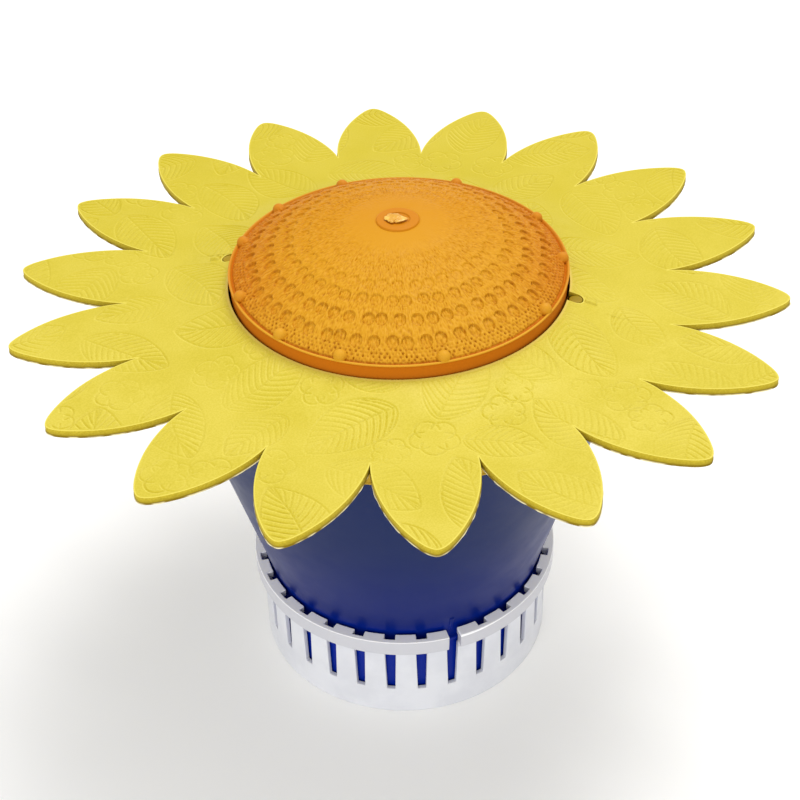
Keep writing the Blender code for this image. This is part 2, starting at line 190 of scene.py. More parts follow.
# Relief of the cap: dimples as rings of (radius in mm, count, depth in mm), pits, streaks and balls
DIMPLE_RINGS = ((58.3, 58, 0.95), (50.6, 52, 0.90), (43.2, 46, 0.66), (36.6, 40, 0.44), (29.4, 32, 0.26),
                (22.6, 26, 0.16))
DIMPLE_R = 2.35 * MM
DIMPLE_WALL = 0.30 * MM
DIMPLE_SHIFTS = ((-0.13, 0.13), (-0.45, 0.45))
NUB_R = 0.8 * MM
NUB_SLOPE = 0.6 * MM
NUB_SHARE = 0.4
PIT_ROWS = (61.0 * MM, 62.2 * MM, 63.4 * MM, 64.5 * MM)
PITS = 200
PIT_R = 0.55 * MM
PIT_WALL = 0.35 * MM
PIT_DEPTH = 0.45 * MM
PIT_SHIFTS = ((-0.09, 0.09), (-0.10, 0.10), (0.6, 1.2))
STREAKS = 104
STREAK_LENGTH = 1.5 * MM
STREAK_DEPTH = 0.30 * MM
GRAIN_SIZE = 0.7 * MM
GRAIN_DEPTH = 0.10 * MM
BALL_R = 2.55 * MM
BALL_SINK = 1.0 * MM
BALL_CENTRE_R = 64.5 * MM
BALL_ANGLES = (-160.5, -133.5, -110, -76, -32, 0.5, 28.5, 67, 111, 139.5, 164.5)

# Painted light and shade of the cap: what its relief adds per metre, and what its walls, bead and balls
# have; painted shade in pits, rim groove and dimple walls, painted highlight on bead and balls
PAINTED_LIGHT_PER_METRE = 1200
PIT_SHADE = 0.45
GROOVE_SHADE = 0.4
WALL_SHADE = 0.30
BEAD_HIGHLIGHT = 0.7
BALL_HIGHLIGHT = 0.62

# Float housing, and the neck ring's studs and lips, with the lips' start and sweep in degrees
HOUSING_IN_R, HOUSING_LIP_R, HOUSING_LOW, HOUSING_HIGH = ring_size("float_housing")
HOUSING_WALL = 1.8 * MM
HOUSING_PLATE = 2.0 * MM
HOUSING_STEP_R = 76.3 * MM
STUD_DROP = 0.5 * MM
STUD_HEIGHT = 2.6 * MM
LIP_START = 34.0
LIP_SWEEP = 86.0

# Canister and collar share the slots' pitch; the stops and their windows start at these degrees
SLOTS = 30
PITCH = TURN / SLOTS
SPLIT_ANGLE = math.radians(-72.4)
WINDOW_START = 22.0
STOP_START = 29.6
CANISTER_LEDGE_R, SHOULDER_R, CANISTER_LOW, CANISTER_HIGH = ring_size("canister")
FOOT_R = 61.0 * MM
CANISTER_WALL = 2.2 * MM
FLANGE_R, BAND_R, COLLAR_LOW, COLLAR_HIGH = ring_size("flow_collar")
SLOT_TOP = 37.8 * MM
SPRING = 0.9 * MM
SPRUNG_COLUMNS = (3, 16)


def srgb(red, green, blue):
    """Display colour in 0..255 as linear RGBA."""
    return tuple((value / 255.0) ** 2.2 for value in (red, green, blue)) + (1.0,)


def polar(radius, angle, z):
    """Point at a radius, an angle and a height."""
    return (radius * math.cos(angle), radius * math.sin(angle), z)


def smooth(x):
    """Smoothstep of x clipped to 0..1."""
    x = np.clip(x, 0.0, 1.0)
    return x * x * (3 - 2 * x)


def turn_from(angles, centre):
    """Signed turn from a centre angle, between minus half a turn and half a turn."""
    return (angles - centre + math.pi) % TURN - math.pi


def plane_noise(flat, scale, layer):
    """Noise at points of the plane, in features per metre."""
    return np.array([noise.noise(Vector((x * scale, y * scale, layer))) for x, y in flat])


def make_object(name, points, faces, material, body, node=None, sharp=50):
    """Make a smooth-shaded piece from points and faces, riding on a body and standing for a node."""
    mesh = bpy.data.meshes.new(name)
    mesh.from_pydata([tuple(point) for point in points], [], faces)
    bm = bmesh.new()
    bm.from_mesh(mesh)
    bmesh.ops.recalc_face_normals(bm, faces=bm.faces)
    bm.to_mesh(mesh)
    bm.free()
    mesh.materials.append(material)
    mesh.shade_smooth()
    mesh.set_sharp_from_angle(angle=math.radians(sharp))
    piece = bpy.data.objects.new(name, mesh)
    bpy.context.scene.collection.objects.link(piece)
    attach(piece, body)
    if node:
        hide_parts(node)
    return piece


def add_point_values(piece, name, values):
    """Store one number for each point of a piece, for its material to read."""
    attribute = piece.data.attributes.new(name, "FLOAT", "POINT")
    attribute.data.foreach_set("value", np.asarray(values, np.float32))


def bevel(piece, width):
    """Round a piece's sharp edges."""
    modifier = piece.modifiers.new("edge_rounding", "BEVEL")
    modifier.width = width
    modifier.segments = 2
    modifier.limit_method = "ANGLE"
    modifier.angle_limit = math.radians(40)
    weighted = piece.modifiers.new("flat_faces_stay_flat", "WEIGHTED_NORMAL")
    weighted.keep_sharp = True


# ---- materials


class Shading:
    """A Principled material under construction."""

    def __init__(self, name, specular, roughness=0.5):
        self.material = bpy.data.materials.new(name)
        self.material.use_nodes = True
        self.tree = self.material.node_tree
        self.shader = self.tree.nodes["Principled BSDF"]
        self.shader.inputs["Specular IOR Level"].default_value = specular
        self.shader.inputs["Roughness"].default_value = roughness
        self.place = self.node("ShaderNodeTexCoord").outputs["Object"]
        self.normal = None

    def node(self, kind, **settings):
        made = self.tree.nodes.new(kind)
        for key, value in settings.items():
            setattr(made, key, value)
        return made

    def link(self, source, target):
        self.tree.links.new(source, target)

    def painted(self, colour):
        """The finished material, coloured by a socket."""
        self.link(colour, self.shader.inputs["Base Color"])
        return self.material

    def noise(self, scale, detail):
        """Noise over the object, in features per metre."""
        made = self.node("ShaderNodeTexNoise")
        for socket, value in (("Scale", scale), ("Detail", detail), ("Roughness", 0.55)):
            made.inputs[socket].default_value = value
        self.link(self.place, made.inputs["Vector"])
        return made.outputs["Fac"]

    def attribute(self, name):
        """Number stored on the points of the piece."""
        made = self.node("ShaderNodeAttribute")
        made.attribute_name = name
        return made.outputs["Fac"]

    def along(self, axis):
        """Place along the object's own X, Y or Z."""
        split = self.node("ShaderNodeSeparateXYZ")
        self.link(self.place, split.inputs["Vector"])
        return split.outputs[axis]

    def radius(self):
        """Distance from the object's Z axis."""
        flat = self.node("ShaderNodeVectorMath", operation="MULTIPLY")
        flat.inputs[1].default_value = (1.0, 1.0, 0.0)
        self.link(self.place, flat.inputs[0])
        length = self.node("ShaderNodeVectorMath", operation="LENGTH")
        self.link(flat.outputs["Vector"], length.inputs[0])
        return length.outputs["Value"]

    def span(self, source, low, high, to_low=0.0, to_high=1.0, soft=True):
        """Map a value from low..high to to_low..to_high, clamped."""
        made = self.node("ShaderNodeMapRange", interpolation_type="SMOOTHSTEP" if soft else "LINEAR")
        values = {"From Min": low, "From Max": high, "To Min": to_low, "To Max": to_high}
        for socket, value in values.items():
            made.inputs[socket].default_value = value
        self.link(source, made.inputs["Value"])
        return made.outputs["Result"]

    def mix(self, factor, first, second):
        """Mix two colours, each a socket or a display colour, by a factor socket."""
        made = self.node("ShaderNodeMix", data_type="RGBA")
        self.link(factor, made.inputs["Factor"])
        for socket, colour in ((made.inputs[6], first), (made.inputs[7], second)):
            if isinstance(colour, tuple):
                socket.default_value = srgb(*colour)
            else:
                self.link(colour, socket)
        return made.outputs[2]

    def mottle(self, scale, detail, first, second, low=0.35, high=0.65):
        """Mix two colours by noise."""
        return self.mix(self.span(self.noise(scale, detail), low, high), first, second)

    def with_painted_light(self, colour, dark, pale):
        """Mix a colour towards its painted shade and painted highlight colours by the painted light stored
        on the points.
        """
        painted_light = self.attribute("painted_light")
        darker = self.mix(self.span(painted_light, 0.0, 0.5, soft=False), dark, colour)
        return self.mix(self.span(painted_light, 0.5, 1.0, soft=False), darker, pale)

    def uneven_roughness(self, scale, low, high):
        """Let the roughness drift between two values."""
        rough = self.span(self.noise(scale, 3), 0.3, 0.7, low, high)
        self.link(rough, self.shader.inputs["Roughness"])

    def bump(self, scale, detail, strength, distance):
        """Add a layer of noise bump over what is already there."""
        made = self.node("ShaderNodeBump")
        made.inputs["Strength"].default_value = strength
        made.inputs["Distance"].default_value = distance
        self.link(self.noise(scale, detail), made.inputs["Height"])
        if self.normal:
            self.link(self.normal, made.inputs["Normal"])
        self.normal = made.outputs["Normal"]
        self.link(self.normal, self.shader.inputs["Normal"])


def petal_foam():
    """Embossed yellow foam: a satin, mottled skin, painted deeper in its pressed lines and towards the
    back as painted shade, and paler on their lips and round the hole as painted highlight.
    """
    look = Shading("petal_foam", 0.16)
    pale = look.mottle(1500, 2, (201, 184, 64), (209, 192, 76))
    deep = look.mottle(1500, 2, (194, 177, 53), (203, 186, 65))
    # Painted shade: the skin darkens towards the back
    painted_back_shade = look.span(look.along("Y"), -0.10, 0.12, 0.0, 0.5)
    skin = look.mix(painted_back_shade, look.mottle(38, 4, deep, pale), (184, 166, 26))
    # Painted light and shade along the pressed lines, and a painted highlight at the top edge
    skin = look.with_painted_light(skin, (190, 171, 40), (226, 211, 94))
    # Painted highlight: a paler rim round the hole
    past_hole_highlight = look.span(look.radius(), HOLE_R + 0.4 * MM, HOLE_R + 1.2 * MM)
    look.uneven_roughness(90, 0.40, 0.52)
    look.bump(2600, 2, 0.10, 0.00012)
    look.bump(420, 3, 0.10, 0.0003)
    return look.painted(look.mix(past_hole_highlight, (214, 192, 88), skin))


def petal_edge_foam():
    """Die-cut foam edge: open cells, a darker copy of the skin as painted shade, darker still towards the
    bottom, with a pale torn lower lip.
    """
    look = Shading("petal_edge_foam", 0.20, 0.8)
    # Painted shade: the edge is a darker copy of the skin, darker still towards the bottom
    upper = look.mottle(1500, 3, (180, 158, 38), (196, 174, 48))
    core = look.mix(look.span(look.attribute("painted_light"), 0.0, 0.7, soft=False), (134, 112, 18), upper)
    look.bump(1800, 2, 0.35, 0.0003)
    return look.painted(look.mix(look.attribute("pale"), core, (244, 234, 186)))


def cap_plastic():
    """Orange moulded plastic with painted shade: lighter over the crown than down the skirt, and darker
    from front to back.
    """
    look = Shading("cap_plastic", 0.11)
    # Painted shade: the crown darkens from front to back, and more so towards the rim
    crown = look.mix(look.span(look.along("Y"), -0.045, 0.030), (203, 144, 30), (199, 133, 20))
    side = look.mix(look.span(look.along("Y"), -0.050, -0.010), (203, 144, 34), (192, 112, 16))
    crown = look.mix(look.span(look.radius(), 0.040, RIM_R), crown, side)
    past_boss = look.span(look.radius(), BOSS_R - 0.3 * MM, BOSS_R + 0.1 * MM)
    top = look.mix(past_boss, (196, 122, 22), crown)
    # Painted shade and painted highlight from the painted light stored on the points
    top = look.with_painted_light(top, (158, 92, 10), (222, 164, 58))
    # Painted shade: below the rim the skirt is a darker orange
    above_skirt_shade = look.span(look.along("Z"), RIM_Z - 0.4 * MM, RIM_Z + 0.2 * MM)
    look.uneven_roughness(160, 0.44, 0.56)
    look.bump(900, 3, 0.15, 0.0002)
    return look.painted(look.mix(above_skirt_shade, (196, 110, 26), top))


def sprue_plastic():
    """The pale, torn end of the cap's sprue."""
    look = Shading("sprue_plastic", 0.4, 0.3)
    return look.painted(look.mottle(420, 2, (210, 150, 42), (228, 180, 78), 0.4, 0.6))


def canister_plastic():
    """Glossy blue plastic with the faint waviness of a moulded wall, brightest down at the foot and greyer
    up the flare: a painted reflection.
    """
    look = Shading("canister_plastic", 0.13)
    # Painted reflection: greyer up the flare, a brighter blue at the foot
    wall = look.mix(look.span(look.along("Z"), 0.055, 0.120), (4, 30, 100), (22, 38, 82))
    look.uneven_roughness(70, 0.28, 0.38)
    look.bump(1200, 2, 0.04, 0.0001)
    return look.painted(look.mix(look.span(look.along("Z"), 0.038, 0.055), (6, 40, 146), wall))


def collar_plastic():
    """Cool white moulded plastic, satin, a little greyer on the band as painted shade and palest on its
    top as painted highlight.
    """
    look = Shading("collar_plastic", 0.45)
    wall = look.mottle(60, 4, (214, 215, 221), (222, 223, 228))
    # Painted shade from just under the band up over the band, and a painted highlight on the top
    band = look.span(look.along("Z"), SLOT_TOP - 2.0 * MM, SLOT_TOP - 0.9 * MM)
    top = look.span(look.along("Z"), COLLAR_HIGH - 0.5 * MM, COLLAR_HIGH - 0.1 * MM)
    look.uneven_roughness(200, 0.36, 0.50)
    look.bump(1600, 3, 0.10, 0.00015)
    return look.painted(look.mix(top, look.mix(band, wall, (198, 198, 204)), (250, 250, 252)))


def housing_plastic(name, dark, light):
    """Moulded plastic of the parts under the sheet, mottled between two colours."""
    look = Shading(name, 0.15, 0.42)
    look.bump(1100, 3, 0.10, 0.0002)
    return look.painted(look.mottle(70, 4, dark, light))


def gasket_rubber():
    """Matt black rubber with a dusty bloom."""
    look = Shading("gasket_rubber", 0.3, 0.75)
    look.bump(2500, 2, 0.2, 0.0001)
    return look.painted(look.mottle(300, 4, (24, 24, 26), (52, 52, 54), 0.4, 0.7))


def float_foam():
    """Off-white cut foam with visible cells."""
    look = Shading("float_foam", 0.2, 0.9)
    look.bump(1100, 3, 0.5, 0.0005)
    return look.painted(look.mottle(900, 3, (214, 211, 198), (234, 232, 224), 0.4, 0.6))


# ---- ring meshes


def ring_points(radius, z, columns):
    """Points of a level circle."""
    turns = np.arange(columns) * (TURN / columns)
    return np.column_stack([radius * np.cos(turns), radius * np.sin(turns), np.full(columns, z)])


def bridge(first, second):
    """Faces between two rings given as (start index, count), whose counts are equal or one to two."""
    (a, count_a), (b, count_b) = first, second
    if count_a == count_b:
        return [(a + i, a + (i + 1) % count_a, b + (i + 1) % count_a, b + i) for i in range(count_a)]
    if count_a > count_b:
        return bridge(second, first)
    return [(a + i, a + (i + 1) % count_a, b + (2 * i + 2) % count_b, b + 2 * i + 1, b + 2 * i)
            for i in range(count_a)]


def ring_mesh(rings, closed):
    """Points and faces of a stack of rings: a closed tube, or a solid capped at both ends."""
    starts = np.cumsum([0] + [len(ring) for ring in rings])
    spans = [(int(start), len(ring)) for start, ring in zip(starts, rings)]
    faces = []
    for first, second in zip(spans, spans[1:] + (spans[:1] if closed else [])):
        faces += bridge(first, second)
    if not closed:
        for start, count in (spans[0], spans[-1]):
            faces.append(tuple(range(start, start + count)))
    return np.concatenate(rings), faces


def arc_profile(centre, radius, start, sweep, steps):
    """(radius, z) points along an arc, angles in degrees."""
    turns = [math.radians(start + sweep * i / steps) for i in range(steps + 1)]
    return [(centre[0] + radius * math.cos(turn), centre[1] + radius * math.sin(turn)) for turn in turns]


def make_arc_bar(name, start, sweep, steps, section, material, body, rounding):
    """Make a bar of one (radius, z) section along an arc given in degrees, with rounded edges."""
    angles = np.radians(start) + np.linspace(0.0, math.radians(sweep), steps + 1)
    sides = len(section)
    points = [polar(radius, angle, z) for angle in angles for radius, z in section]
    faces = [(sides * i + j, sides * i + (j + 1) % sides,
              sides * (i + 1) + (j + 1) % sides, sides * (i + 1) + j)
             for i in range(steps) for j in range(sides)]
    faces += [tuple(range(sides)), tuple(range(sides * steps, sides * (steps + 1)))]
    bar = make_object(name, points, faces, material, body, sharp=30)
    bevel(bar, rounding)
    return bar


# ---- petal sheet


def leaf_strokes(length, width, rng):
    """Pressed lines of one veined leaf along x: outline, midrib and side veins, as point lists."""
    def half_width(u):
        return width / 2 * math.sin(math.pi * u ** LEAF_FULLNESS) ** LEAF_POINT

    bend = rng.uniform(-LEAF_BEND, LEAF_BEND) * length

    def point(u, side):
        return (length * (u - 0.5), side + bend * (4 * u * (1 - u) - 0.5))

    parameters = [i / LEAF_STEPS for i in range(LEAF_STEPS + 1)]
    strokes = [[point(u, sign * half_width(min(max(u, 1e-6), 1 - 1e-6))) for u in parameters]
               for sign in (-1, 1)]
    strokes.append([point(u, 0.0) for u in parameters])
    veins = int(length / VEIN_GAP)
    for vein in range(veins):
        root = 0.03 + 0.84 * vein / (veins - 1)
        end = min(root + 0.20, 0.985)
        for sign in (-1, 1):
            strokes.append([point(root + (end - root) * v ** VEIN_CURVE, sign * 0.97 * half_width(end) * v)
                            for v in (i / VEIN_STEPS for i in range(VEIN_STEPS + 1))])
    return strokes


def blossom_strokes(size, rng):
    """Pressed lines of one blossom: the outer arcs of its lobes."""
    lobe = LOBE_R * size
    reach = LOBE_REACH * size
    strokes = []
    phase = rng.uniform(0, TURN)
    for index in range(LOBES):
        turn = phase + index * TURN / LOBES
        centre = (reach * math.cos(turn), reach * math.sin(turn))
        arc = [turn + math.radians(-LOBE_HALF_ARC + 2 * LOBE_HALF_ARC * i / LOBE_STEPS)
               for i in range(LOBE_STEPS + 1)]
        strokes.append([(centre[0] + lobe * math.cos(a), centre[1] + lobe * math.sin(a)) for a in arc])
    return strokes


def scatter_motifs():
    """Scatter leaves, then blossoms into the gaps, and return all their strokes on the sheet."""
    rng = random.Random(11)
    taken = []
    strokes = []

    def place(tries, make, spots):
        for _ in range(tries):
            radius = math.sqrt(rng.uniform((0.92 * HOLE_R) ** 2, TIP_R ** 2))
            angle = rng.uniform(0, TURN)
            turn = rng.uniform(0, TURN)
            x, y, _ = polar(radius, angle, 0.0)
            discs = [(x + along * math.cos(turn), y + along * math.sin(turn), size)
                     for along, size in spots]
            if all(math.hypot(a - c, b - d) > size + other
                   for a, b, size in discs for c, d, other in taken):
                taken.extend(discs)
                for stroke in make():
                    strokes.append([(x + u * math.cos(turn) - v * math.sin(turn),
                                     y + u * math.sin(turn) + v * math.cos(turn)) for u, v in stroke])

    for length, width in LEAVES:
        spots = [(along * length, share * width) for along, share in LEAF_DISCS]
        place(LEAF_TRIES, lambda: leaf_strokes(length, width, rng), spots)
    for size in BLOSSOMS:
        place(BLOSSOM_TRIES, lambda: blossom_strokes(size, rng), [(0.0, BLOSSOM_DISC * size)])
    return strokes


def point_tree(flat):
    """Search tree over points of the plane."""
    tree = KDTree(len(flat))
    for index, (x, y) in enumerate(flat):
        tree.insert((x, y, 0.0), index)
    tree.balance()
    return tree


def stroke_tree(strokes):
    """Search tree over points spaced closely along every stroke."""
    samples = []
    for stroke in strokes:
        for (ax, ay), (bx, by) in zip(stroke, stroke[1:]):
            steps = max(1, math.ceil(math.hypot(bx - ax, by - ay) / STROKE_STEP))
            samples += [(ax + (bx - ax) * i / steps, ay + (by - ay) * i / steps) for i in range(steps)]
    return point_tree(samples)


def hole_radius(angles):
    """Radius of the sheet's hole, which swells into a round keyhole at two angles."""
    radii = np.full_like(angles, HOLE_R)
    for keyhole in KEYHOLE_ANGLES:
        off = np.abs(turn_from(angles, keyhole))
        side = KEYHOLE_CENTRE_R * np.sin(np.minimum(off, KEYHOLE_REACH))
        inside = side < KEYHOLE_R
        half_chord = np.sqrt(np.where(inside, KEYHOLE_R ** 2 - side ** 2, 0.0))
        radii = np.where(inside, KEYHOLE_CENTRE_R * np.cos(off) + half_chord, radii)
    return radii


def crown_rise(radii):
    """Rise of the sheet towards its hole, with a soft start at the crown radius."""
    slope = SHEET_RISE / (CROWN_R - FRAME_HOLE_R)
    inward = CROWN_R - radii
    blend = np.clip((inward + CROWN_SOFTNESS) / (2 * CROWN_SOFTNESS), 0.0, 1.0)
    rounded = slope * CROWN_SOFTNESS * blend ** 2
    return np.where(inward > CROWN_SOFTNESS, slope * inward, rounded)


def warp(radii, angles):
    """How far the sheet is pulled out and up, 0 to 1: only its petals towards -X and +X."""
    return np.cos(angles) ** 2 * np.clip((radii - WARP_R) / (TIP_R - WARP_R), 0.0, 1.0)


def petal_half_angle(t):
    """Half the angle that a petal spans at a share t of the way from valley to tip."""
    rounding = TIP_ROUNDING * np.sqrt(1 - t) * np.exp((t - 1) / TIP_ROUND_SHARE)
    return HALF_PETAL * (1 - t ** PETAL_FULLNESS) ** PETAL_POINT + rounding


def sheet_layout():
    """Radius and angle of each grid point of the sheet, its index grids and its outline.

    The ring part wraps round with shared columns. Each petal has its own columns from valley to tip.
    """
    shares = np.linspace(-1, 1, SHEET_COLUMNS + 1)
    shares = shares * (1 + COLUMN_CROWDING - COLUMN_CROWDING * shares ** 2)
    centres = TIP_ANGLE + np.arange(PETALS) * 2 * HALF_PETAL
    around = (centres[:, None] + HALF_PETAL * shares[:-1]).ravel()
    inner = hole_radius(around)
    depth = (np.arange(RING_ROWS + 1) / RING_ROWS)[:, None]
    radii = [(inner + (VALLEY_R - inner) * depth).ravel()]
    angles = [np.tile(around, RING_ROWS + 1)]
    columns = PETALS * SHEET_COLUMNS
    ring = np.arange((RING_ROWS + 1) * columns).reshape(RING_ROWS + 1, columns)

    last = (1 - TIP_BLUNTNESS) ** (1 / PETAL_FULLNESS)
    steps = last * (1 - (1 - np.arange(1, PETAL_ROWS + 1) / PETAL_ROWS) ** ROW_CROWDING)
    petals = []
    start = ring.size
    for petal, centre in enumerate(centres):
        radii.append(np.repeat(VALLEY_R + steps * (TIP_R - VALLEY_R), SHEET_COLUMNS + 1))
        angles.append((centre + petal_half_angle(steps)[:, None] * shares).ravel())
        grid = start + np.arange(PETAL_ROWS * (SHEET_COLUMNS + 1)).reshape(PETAL_ROWS, SHEET_COLUMNS + 1)
        base = ring[-1, (petal * SHEET_COLUMNS + np.arange(SHEET_COLUMNS + 1)) % columns]
        petals.append(np.vstack([base, grid]))
        start += grid.size
    outline = np.concatenate([np.concatenate([grid[:-1, 0], grid[-1], grid[-2:0:-1, -1]])
                              for grid in petals])
    return np.concatenate(radii), np.concatenate(angles), ring, petals, outline


def grid_faces(grid, wrap=False):
    """Quads of an index grid, optionally wrapping its columns."""
    right = np.roll(grid, -1, axis=1) if wrap else grid[:, 1:]
    left = grid if wrap else grid[:, :-1]
    return np.stack([left[:-1], right[:-1], right[1:], left[1:]], axis=-1).reshape(-1, 4)


def outline_normals(points):
    """Outward unit normals of a closed outline that runs anticlockwise, in the plane."""
    along = np.roll(points, -2, axis=0) - np.roll(points, 2, axis=0)
    normals = np.column_stack([along[:, 1], -along[:, 0]])
    return normals / np.maximum(np.linalg.norm(normals, axis=1, keepdims=True), 1e-9)


def emboss(flat, radii, angles, inward):
    """Relief and painted light of the sheet's skin; inward is each point's distance from the cut edge."""
    tree = stroke_tree(scatter_motifs())
    nearest = [tree.find((x, y, 0.0)) for x, y in flat]
    distance = np.array([found[2] for found in nearest])
    towards = np.array([found[0][:2] for found in nearest]) - flat
    # Painted light and shade: a flank turned to the painted light is paler, one turned away darker
    facing_painted_light = towards @ np.array(PAINTED_LIGHT_FROM) / np.maximum(distance, 0.01 * MM)
    pressed = np.exp(-(distance / STROKE_WIDTH) ** 2)
    lips = np.exp(-((distance - LIP_OFFSET) / STROKE_WIDTH) ** 2)
    flanks = np.exp(-((distance - FLANK_OFFSET) / FLANK_WIDTH) ** 2)
    wear = smooth(0.5 + WEAR_GAIN * plane_noise(flat, WEAR_SCALE, 6.0))
    strength = (LEAST_STRENGTH + STRENGTH_RANGE * wear) * smooth((inward - 0.5 * MM) / MM)
    relief = strength * (LIP_HEIGHT * lips - STROKE_DEPTH * pressed)
    # Painted shade in the groove, painted highlight on the lips, painted highlight and shade on the flanks
    painted_light = 0.5 + strength * (FLANK_LIGHT * flanks * facing_painted_light + LIP_HIGHLIGHT * lips + STROKE_SHADE * pressed)
    # Painted highlight along the top of the cut edge
    painted_light += (EDGE_HIGHLIGHT - painted_light) * smooth((EDGE_LINE - inward) / EDGE_FADE)

    for keyhole in KEYHOLE_ANGLES:
        aside = np.abs(turn_from(angles, keyhole)) * radii
        bar = smooth((BAR_HALF_WIDTH - aside) / BAR_SLOPE)
        bar *= smooth((radii - BAR_START) / BAR_END_SLOPE) * smooth((BAR_END - radii) / BAR_END_SLOPE)
        relief += BAR_HEIGHT * bar
    relief += RIPPLE_HEIGHT * plane_noise(flat, RIPPLE_SCALE, 3.0) * smooth((radii - HOLE_R) / RIPPLE_FADE)
    return relief, painted_light


def sheet_underside(points, outer, inner):
    """Triangles between the outer and inner loops of the sheet's underside, and the points added."""
    circles = []
    for radius in (CROWN_R + CROWN_SOFTNESS, CROWN_R, CROWN_R - CROWN_SOFTNESS, 0.5 * (CROWN_R + HOLE_R)):
        circles += [Vector(polar(radius, TURN * i / UNDERSIDE_POINTS, 0.0)[:2])
                    for i in range(UNDERSIDE_POINTS)]
    loops = [int(i) for i in outer] + [int(i) for i in inner]
    count, total = len(outer), len(loops)
    edges = [(i, (i + 1) % count) for i in range(count)]
    edges += [(count + i, count + (i + 1) % (total - count)) for i in range(total - count)]
    start = [Vector(points[i][:2]) for i in loops] + circles
    flat, _, triangles, origins, _, _ = geometry.delaunay_2d_cdt(start, edges, [], 0, 1e-7)
    added = []
    index = {}
    for i, origin in enumerate(origins):
        if origin and min(origin) < total:
            index[i] = loops[min(origin)]
        else:
            index[i] = len(points) + len(added)
            added.append((flat[i].x, flat[i].y))
    kept = []
    for triangle in triangles:
        x = sum(flat[i].x for i in triangle) / 3
        y = sum(flat[i].y for i in triangle) / 3
        radius, angle = math.hypot(x, y), math.atan2(y, x)
        radius /= 1 + WARP_STRETCH * float(warp(radius, angle))
        off = abs((angle - TIP_ANGLE + HALF_PETAL) % (2 * HALF_PETAL) - HALF_PETAL)
        t = (radius - VALLEY_R) / (TIP_R - VALLEY_R)
        within_outline = t < 0 or (t < 1 and off < petal_half_angle(t))
        if within_outline and radius > float(hole_radius(angle)):
            kept.append(tuple(index[i] for i in triangle))
    return added, kept


def make_petal_sheet():
    """The embossed, die-cut foam flower, rising round its hole."""
    radii, angles, ring, petals, outline = sheet_layout()
    pull = warp(radii, angles)
    lift = crown_rise(radii) + WARP_RISE * pull
    reach = radii * (1 + WARP_STRETCH * pull)
    flat = np.column_stack([reach * np.cos(angles), reach * np.sin(angles)])
    hole = ring[0]
    edge = np.concatenate([outline, hole])
    edge_tree = point_tree(flat[edge])
    inward = np.array([edge_tree.find((x, y, 0.0))[2] for x, y in flat])
    relief, painted_light = emboss(flat, radii, angles, inward)
    top = SHEET_TOP + lift + relief
    top[edge] -= EDGE_DROP

    points = [np.column_stack([flat, top])]
    faces = [grid_faces(ring, wrap=True)] + [grid_faces(grid) for grid in petals]
    top_faces = sum(len(block) for block in faces)
    painted_lights = [painted_light]
    pale = [np.zeros(len(flat))]
    loops = []
    count = len(flat)
    for loop, is_outline in ((outline, True), (hole, False)):
        base = flat[loop]
        to_axis = -base / np.linalg.norm(base, axis=1, keepdims=True)
        normal = outline_normals(base) if is_outline else to_axis
        low = SHEET_LOW + lift[loop]
        ragged = plane_noise(base, RAGGED_SCALE, 9.0)
        previous = loop
        for share, proud, burr, shade, lip in EDGE_ROWS:
            z = top[loop] * (1 - share) + low * share
            shift = (proud + burr * np.maximum(ragged[:, None], 0.0)) * MM * normal
            points.append(np.column_stack([base + shift, z]))
            # Painted shade that deepens down the cut edge
            painted_lights.append(np.full(len(base), shade))
            pale.append(lip * smooth(TORN_SHARE + TORN_GAIN * ragged))
            current = count + np.arange(len(base))
            faces.append(grid_faces(np.vstack([previous, current]), wrap=True))
            previous = current
            count += len(base)
        loops.append(previous)
    every = np.concatenate(points)
    added, triangles = sheet_underside(every, loops[0], loops[1])
    spot = np.array(added)
    rise = crown_rise(np.hypot(spot[:, 0], spot[:, 1]))
    every = np.concatenate([every, np.column_stack([spot, SHEET_LOW + rise])])
    # Painted shade on the underside
    painted_lights.append(np.zeros(len(added)))
    pale.append(np.zeros(len(added)))
    quads = np.concatenate(faces)
    sheet = make_object("petal_sheet_foam", every, quads.tolist() + triangles, petal_foam(), "base",
                        "petal_sheet", sharp=65)
    add_point_values(sheet, "painted_light", np.concatenate(painted_lights))
    add_point_values(sheet, "pale", np.concatenate(pale))
    sheet.data.materials.append(petal_edge_foam())
    slots = np.zeros(len(sheet.data.polygons), np.int32)
    slots[top_faces:len(quads)] = 1
    sheet.data.polygons.foreach_set("material_index", slots)


# ---- dome cap


def dome_height(radius, shrink=0.0):
    """Height of the cap's spherical dome, or of the surface a shrink under it."""
    return RIM_Z + DOME_RISE - SPHERE_R + math.sqrt((SPHERE_R - shrink) ** 2 - radius ** 2)


def place_shifts(count, seed, ranges):
    """Random shift of each place of a ring: round it in pitches, outwards in mm, and any more numbers."""
    rng = random.Random(seed)
    return np.array([[rng.uniform(*limits) for limits in ranges] for _ in range(count)])


def to_nearest_place(radius, turns, ring_radius, shifts, phase=0.0):
    """Distance from points of a circle to the nearest place of a ring of places, and its number."""
    count = len(shifts)
    number = np.round(turns / TURN * count + phase).astype(int) % count
    centre = (number - phase + shifts[number, 0]) * TURN / count
    aside = turn_from(turns, centre) * radius
    return np.hypot(aside, radius - ring_radius - shifts[number, 1] * MM), number


